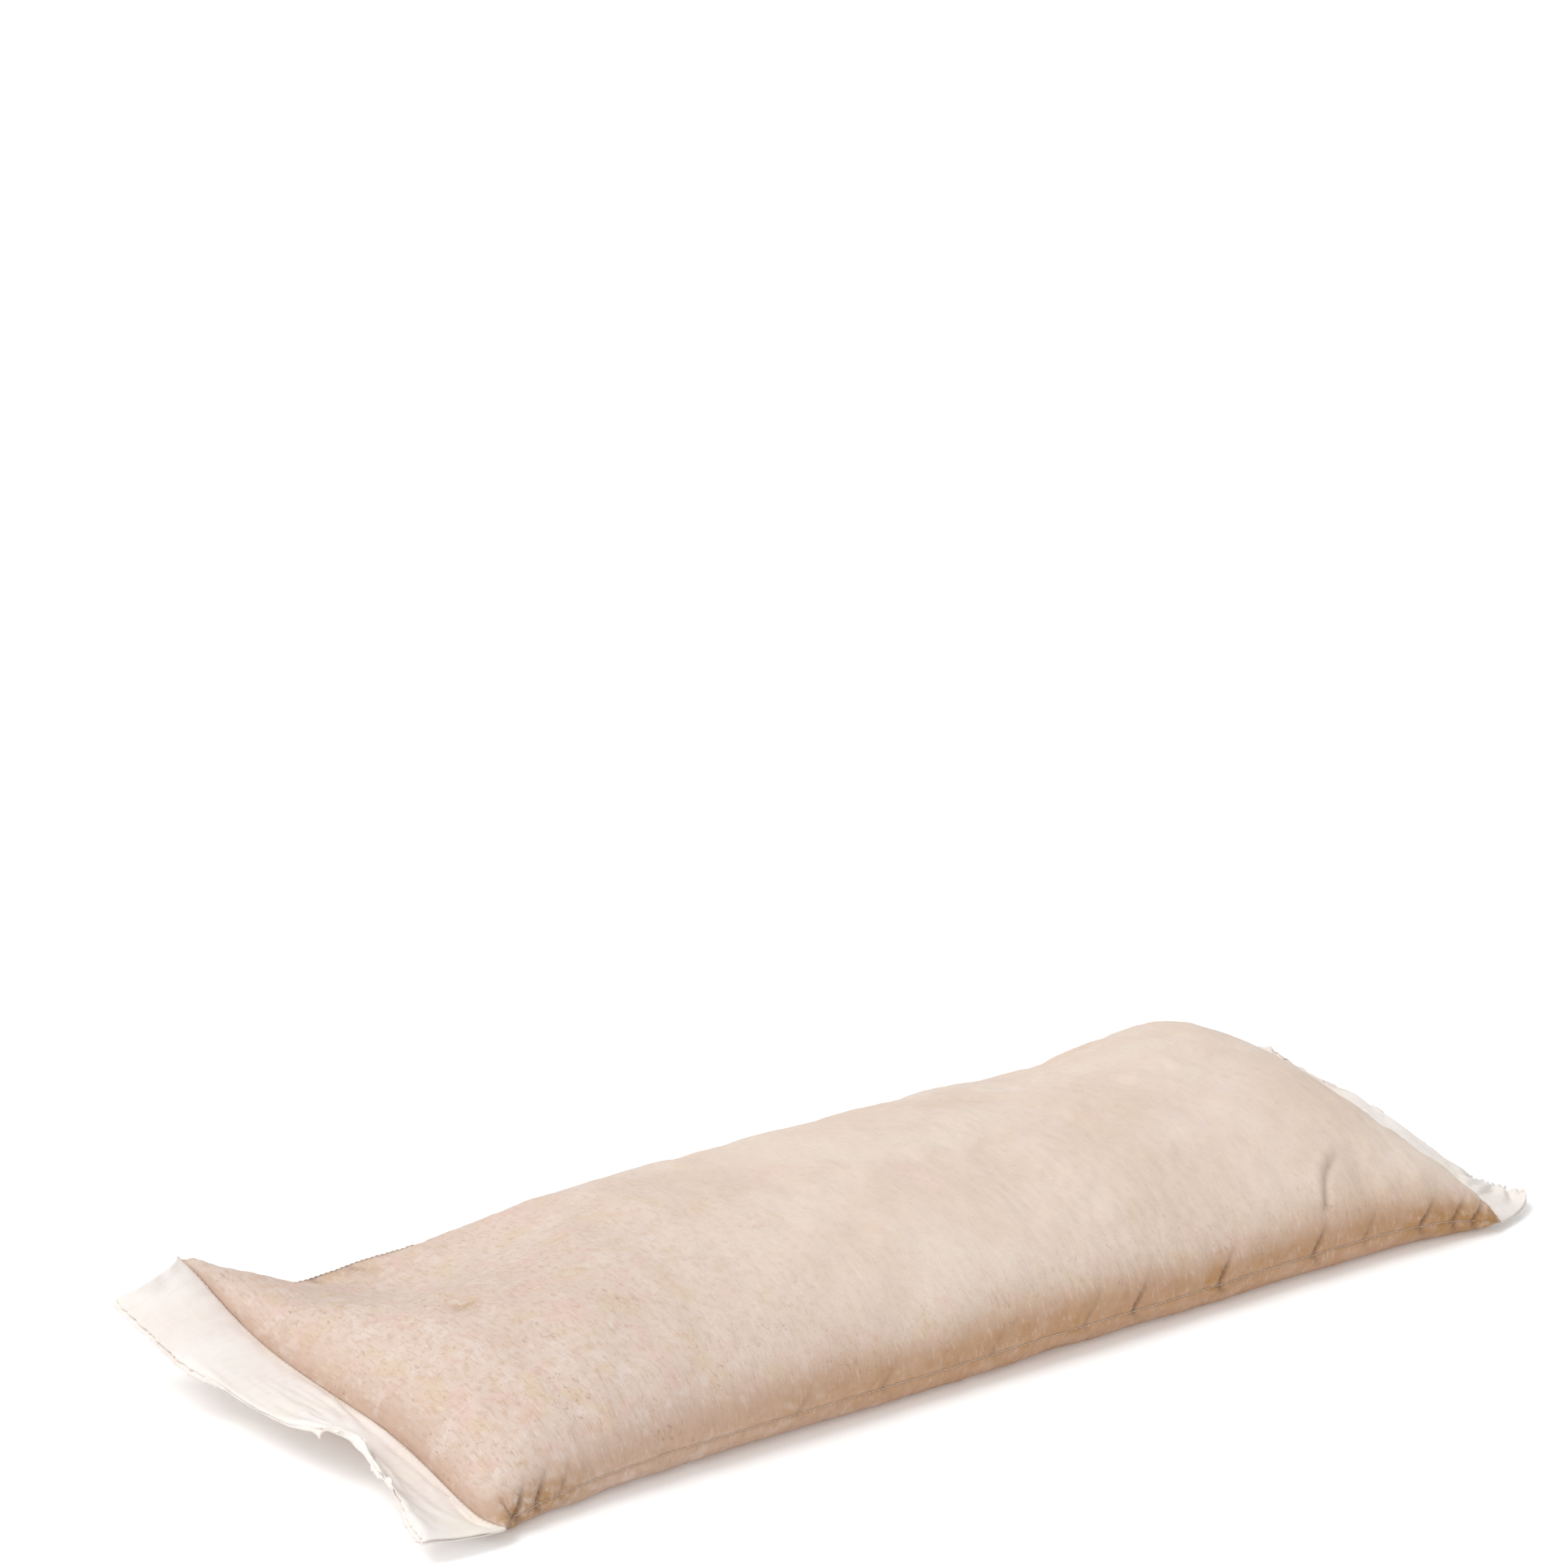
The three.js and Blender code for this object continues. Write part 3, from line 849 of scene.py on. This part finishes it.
class Nodes:
    """Short ways to add nodes to one material."""

    def __init__(self, tree):
        self.tree = tree

    def add(self, kind, **settings):
        node = self.tree.nodes.new(kind)
        for key, value in settings.items():
            setattr(node, key, value)
        return node

    def put(self, socket, value):
        if isinstance(value, bpy.types.NodeSocket):
            self.tree.links.new(value, socket)
        elif value is not None:
            socket.default_value = value

    def flat(self, scale):
        uv = self.add("ShaderNodeUVMap", uv_map="flat")
        mapping = self.add("ShaderNodeMapping")
        self.put(mapping.inputs["Vector"], uv.outputs["UV"])
        mapping.inputs["Scale"].default_value = scale
        return mapping.outputs["Vector"]

    def noise(self, scale, detail=2.0, rough=0.5):
        node = self.add("ShaderNodeTexNoise")
        node.inputs["Scale"].default_value = 1.0
        node.inputs["Detail"].default_value = detail
        node.inputs["Roughness"].default_value = rough
        self.put(node.inputs["Vector"], self.flat(scale))
        return node.outputs["Fac"]

    def math(self, how, a, b=None, c=None):
        node = self.add("ShaderNodeMath", operation=how)
        for socket, value in zip(node.inputs, (a, b, c)):
            self.put(socket, value)
        return node.outputs[0]

    def window(self, value, low, high):
        node = self.add("ShaderNodeMapRange", interpolation_type="SMOOTHSTEP")
        self.put(node.inputs["Value"], value)
        node.inputs["From Min"].default_value = low
        node.inputs["From Max"].default_value = high
        return node.outputs["Result"]

    def mix(self, share, a, b):
        node = self.add("ShaderNodeMix", data_type="RGBA")
        self.put(node.inputs[0], share)
        self.put(node.inputs[6], a)
        self.put(node.inputs[7], b)
        return node.outputs[2]

    def painted(self, name):
        return self.add("ShaderNodeAttribute", attribute_name=name).outputs["Fac"]


def srgb(r, g, b):
    linear = lambda c: c / 12.92 if c <= 0.04045 else ((c + 0.055) / 1.055) ** 2.4
    return (*(linear(c / 255) for c in (r, g, b)), 1.0)


def woven_height(n, pitch=0.0007):
    """Height of a fine plain cloth with slubs."""
    waves = []
    for direction in ("X", "Y"):
        wave = n.add("ShaderNodeTexWave", wave_type="BANDS", bands_direction=direction, wave_profile="SIN")
        n.put(wave.inputs["Vector"], n.flat((1 / pitch / 3.1416, 1 / pitch / 3.1416, 1)))
        wave.inputs["Scale"].default_value = 1.0
        wave.inputs["Distortion"].default_value = 1.2
        wave.inputs["Detail"].default_value = 1.0
        waves.append(wave.outputs["Fac"])
    weave = n.math("MULTIPLY", waves[0], waves[1])
    slubs = n.noise((900, 2600, 1), 1.0)
    return n.math("MULTIPLY_ADD", slubs, 0.7, weave)


def casing_material():
    material, tree = new_material("casing_cloth")
    n = Nodes(tree)
    steep, dark, husky = n.painted("steep"), n.painted("dark"), n.painted("husky")
    place = n.add("ShaderNodeSeparateXYZ")
    n.put(place.inputs[0], n.flat((1, 1, 1)))
    left = n.window(place.outputs["X"], -0.02, -0.27)
    light, pink = srgb(229, 213, 199), srgb(226, 203, 194)
    tan, brown = srgb(203, 172, 146), srgb(172, 128, 72)
    colour = n.mix(n.window(n.noise((11, 14, 1), 2.0), 0.35, 0.68), light, srgb(224, 203, 186))
    colour = n.mix(n.math("MULTIPLY", n.window(n.noise((16, 20, 1.7), 1.5), 0.56, 0.72), 0.5), colour, pink)
    # Darker and browner on the steep sides and the underside: painted shade, with husks showing through
    # where the cloth is pulled tight.
    tight = n.math("MULTIPLY", n.window(steep, 0.12, 0.88), 0.9)
    colour = n.mix(tight, colour, srgb(184, 140, 103))
    # Darker and pinker towards the left end: painted shade set against the fill lamp that lights this end,
    # with a pinker tone.
    colour = n.mix(n.math("MULTIPLY", left, 0.62), colour, srgb(210, 188, 176))
    busy = n.math("MULTIPLY_ADD", n.math("MAXIMUM", left, n.window(steep, 0.1, 0.6)), 0.75, 0.25)
    yellow = n.window(n.noise((58, 50, 3.1), 1.0), 0.56, 0.66)
    calm = n.math("MULTIPLY", busy, n.math("MULTIPLY_ADD", tight, -0.75, 1.0))
    colour = n.mix(n.math("MULTIPLY", yellow, n.math("MULTIPLY", calm, 0.35)), colour, srgb(214, 190, 156))
    rosy = n.window(n.noise((52, 60, 5.3), 1.0), 0.55, 0.66)
    colour = n.mix(n.math("MULTIPLY", rosy, n.math("MULTIPLY", calm, 0.40)), colour, srgb(222, 188, 178))
    pale = n.window(n.noise((64, 60, 1), 2.0, 0.6), 0.53, 0.66)
    pale = n.math("MULTIPLY", pale, n.math("MULTIPLY_ADD", left, 0.28, 0.10))
    colour = n.mix(pale, colour, srgb(228, 215, 208))
    mottle = n.window(n.noise((210, 190, 1), 3.0, 0.7), 0.46, 0.66)
    colour = n.mix(n.math("MULTIPLY", mottle, n.math("MULTIPLY", busy, 0.40)), colour, tan)
    streaks = n.window(n.noise((520, 130, 1), 2.0, 0.6), 0.50, 0.68)
    colour = n.mix(n.math("MULTIPLY", streaks, n.math("MULTIPLY", busy, 0.34)), colour, srgb(186, 154, 130))
    glints = n.window(n.noise((600, 140, 4.7), 1.0, 0.5), 0.60, 0.70)
    colour = n.mix(n.math("MULTIPLY", glints, n.math("MULTIPLY", busy, 0.22)), colour, srgb(236, 224, 214))
    flecks = n.window(n.noise((330, 230, 1), 2.0, 0.7), 0.59, 0.69)
    fleck_share = n.math("MULTIPLY", n.window(n.noise((24, 26, 1), 2.0), 0.40, 0.62), busy)
    flecks = n.math("MULTIPLY", n.math("MULTIPLY", flecks, fleck_share), 0.5)
    colour = n.mix(flecks, colour, srgb(166, 130, 106))
    # Brown patches beside the seam folds, along the near side seam and in the dent.
    husk = n.math("MULTIPLY", husky, n.window(n.noise((150, 150, 1), 3.0, 0.6), 0.34, 0.6))
    colour = n.mix(n.math("MULTIPLY", husk, 0.85), colour, brown)
    # Painted shade in the seam folds and the crease.
    colour = n.mix(n.math("MULTIPLY", dark, 0.72), colour, srgb(116, 86, 66))
    shader = n.add("ShaderNodeBsdfPrincipled")
    n.put(shader.inputs["Base Color"], colour)
    rough = n.math("MULTIPLY_ADD", n.noise((120, 120, 1), 2.0), 0.12, 0.78)
    n.put(shader.inputs["Roughness"], rough)
    shader.inputs["Specular IOR Level"].default_value = 0.25
    shader.inputs["Sheen Weight"].default_value = 0.12
    shader.inputs["Sheen Roughness"].default_value = 0.5
    bump = n.add("ShaderNodeBump")
    bump.inputs["Strength"].default_value = 0.35
    bump.inputs["Distance"].default_value = 0.0003
    height = n.math("MULTIPLY_ADD", n.noise((520, 170, 1), 2.0), 1.2, woven_height(n))
    n.put(bump.inputs["Height"], height)
    n.put(shader.inputs["Normal"], bump.outputs["Normal"])
    output = n.add("ShaderNodeOutputMaterial")
    n.put(output.inputs["Surface"], shader.outputs["BSDF"])
    return material


def flange_material():
    material, tree = new_material("flange_cloth")
    n = Nodes(tree)
    far = n.painted("far")
    colour = n.mix(n.window(n.noise((14, 16, 1), 2.0), 0.35, 0.7), srgb(252, 246, 241), srgb(247, 237, 231))
    cream = n.math("MULTIPLY", n.window(n.noise((22, 30, 1), 1.0), 0.5, 0.7), 0.5)
    colour = n.mix(cream, colour, srgb(249, 242, 226))
    # Darker and pinker along the end seam: painted shade where the flange leaves the body, with the pinker
    # tone of the seam.
    near = n.math("SUBTRACT", 1.0, n.window(far, 0.0, 0.25))
    colour = n.mix(n.math("MULTIPLY", near, 0.35), colour, srgb(238, 220, 208))
    streaks = n.window(n.noise((60, 420, 1), 2.0), 0.5, 0.75)
    colour = n.mix(n.math("MULTIPLY", streaks, 0.12), colour, srgb(214, 198, 186))
    shader = n.add("ShaderNodeBsdfPrincipled")
    n.put(shader.inputs["Base Color"], colour)
    shader.inputs["Roughness"].default_value = 0.8
    shader.inputs["Specular IOR Level"].default_value = 0.25
    shader.inputs["Sheen Weight"].default_value = 0.1
    bump = n.add("ShaderNodeBump")
    bump.inputs["Strength"].default_value = 0.3
    bump.inputs["Distance"].default_value = 0.0003
    n.put(bump.inputs["Height"], woven_height(n))
    n.put(shader.inputs["Normal"], bump.outputs["Normal"])
    through = n.add("ShaderNodeBsdfTranslucent")
    n.put(through.inputs["Color"], colour)
    blend_node = n.add("ShaderNodeMixShader")
    blend_node.inputs[0].default_value = 0.12
    n.put(blend_node.inputs[1], shader.outputs["BSDF"])
    n.put(blend_node.inputs[2], through.outputs["BSDF"])
    output = n.add("ShaderNodeOutputMaterial")
    n.put(output.inputs["Surface"], blend_node.outputs["Shader"])
    return material


def grain_material(name, low, high, scale, roughness):
    """A plain two-tone material with a fine bump, for the husks and the thread."""
    material, tree = new_material(name)
    n = Nodes(tree)
    place = n.add("ShaderNodeNewGeometry").outputs["Position"]
    noise = n.add("ShaderNodeTexNoise")
    noise.inputs["Scale"].default_value = scale
    noise.inputs["Detail"].default_value = 3.0
    n.put(noise.inputs["Vector"], place)
    shader = n.add("ShaderNodeBsdfPrincipled")
    n.put(shader.inputs["Base Color"], n.mix(n.window(noise.outputs["Fac"], 0.35, 0.65), low, high))
    shader.inputs["Roughness"].default_value = roughness
    bump = n.add("ShaderNodeBump")
    bump.inputs["Strength"].default_value = 0.5
    bump.inputs["Distance"].default_value = 0.0005
    n.put(bump.inputs["Height"], noise.outputs["Fac"])
    n.put(shader.inputs["Normal"], bump.outputs["Normal"])
    output = n.add("ShaderNodeOutputMaterial")
    n.put(output.inputs["Surface"], shader.outputs["BSDF"])
    return material


casing = casing_material()
flange_cloth = flange_material()
husk = grain_material("husks", srgb(120, 84, 48), srgb(190, 152, 100), 260.0, 0.9)
thread = grain_material("sewing_thread", srgb(206, 184, 162), srgb(222, 202, 182), 1500.0, 0.75)
for side in panels:
    panels[side][0].data.materials.append(casing)
for key in flanges:
    flanges[key][0].data.materials.append(flange_cloth)
filling.data.materials.append(husk)
for piece in stitches:
    piece.data.materials.append(thread)

# ---------------------------------------------------------------- floor, light
FLOOR_GLOW = 0.15


def floor_material():
    """White, and lit from below a little as a product table is."""
    material, tree = new_material("pale_floor")
    n = Nodes(tree)
    shader = n.add("ShaderNodeBsdfDiffuse")
    shader.inputs["Color"].default_value = (0.94, 0.94, 0.94, 1)
    glow = n.add("ShaderNodeEmission")
    glow.inputs["Strength"].default_value = FLOOR_GLOW
    both = n.add("ShaderNodeAddShader")
    n.put(both.inputs[0], shader.outputs["BSDF"])
    n.put(both.inputs[1], glow.outputs["Emission"])
    output = n.add("ShaderNodeOutputMaterial")
    n.put(output.inputs["Surface"], both.outputs["Shader"])
    return material


def make_floor():
    half = 12.0  # of its side
    corners = [(-half, -half, 0), (half, -half, 0), (half, half, 0), (-half, half, 0)]
    floor = link_mesh("floor", np.array(corners, float), [(0, 1, 2, 3)])
    floor.data.materials.append(floor_material())


def area_light(name, place, aim, size, power, colour=(1, 1, 1)):
    data = bpy.data.lights.new(name, "AREA")
    data.shape = "DISK"
    data.size = size
    data.energy = power
    data.color = colour
    light = bpy.data.objects.new(name, data)
    bpy.context.scene.collection.objects.link(light)
    light.location = place
    light.rotation_mode = "QUATERNION"
    light.rotation_quaternion = (Vector(aim) - Vector(place)).to_track_quat("-Z", "Y")


make_floor()
area_light("fill", (-2.4, -1.2, 1.5), (-0.1, 0, 0.05), 1.8, 12)
sun = bpy.data.lights.new("key", "SUN")
sun.energy = 1.5
sun.angle = math.radians(38)
key = bpy.data.objects.new("key", sun)
bpy.context.scene.collection.objects.link(key)
key.rotation_mode = "QUATERNION"
key.rotation_quaternion = Vector((0.5, -0.25, -1.0)).to_track_quat("-Z", "Y")
world = bpy.data.worlds.new("studio")
bpy.context.scene.world = world
world.use_nodes = True
world.node_tree.nodes["Background"].inputs["Color"].default_value = (1, 1, 1, 1)
world.node_tree.nodes["Background"].inputs["Strength"].default_value = 0.62
bpy.context.scene.view_settings.view_transform = "Standard"
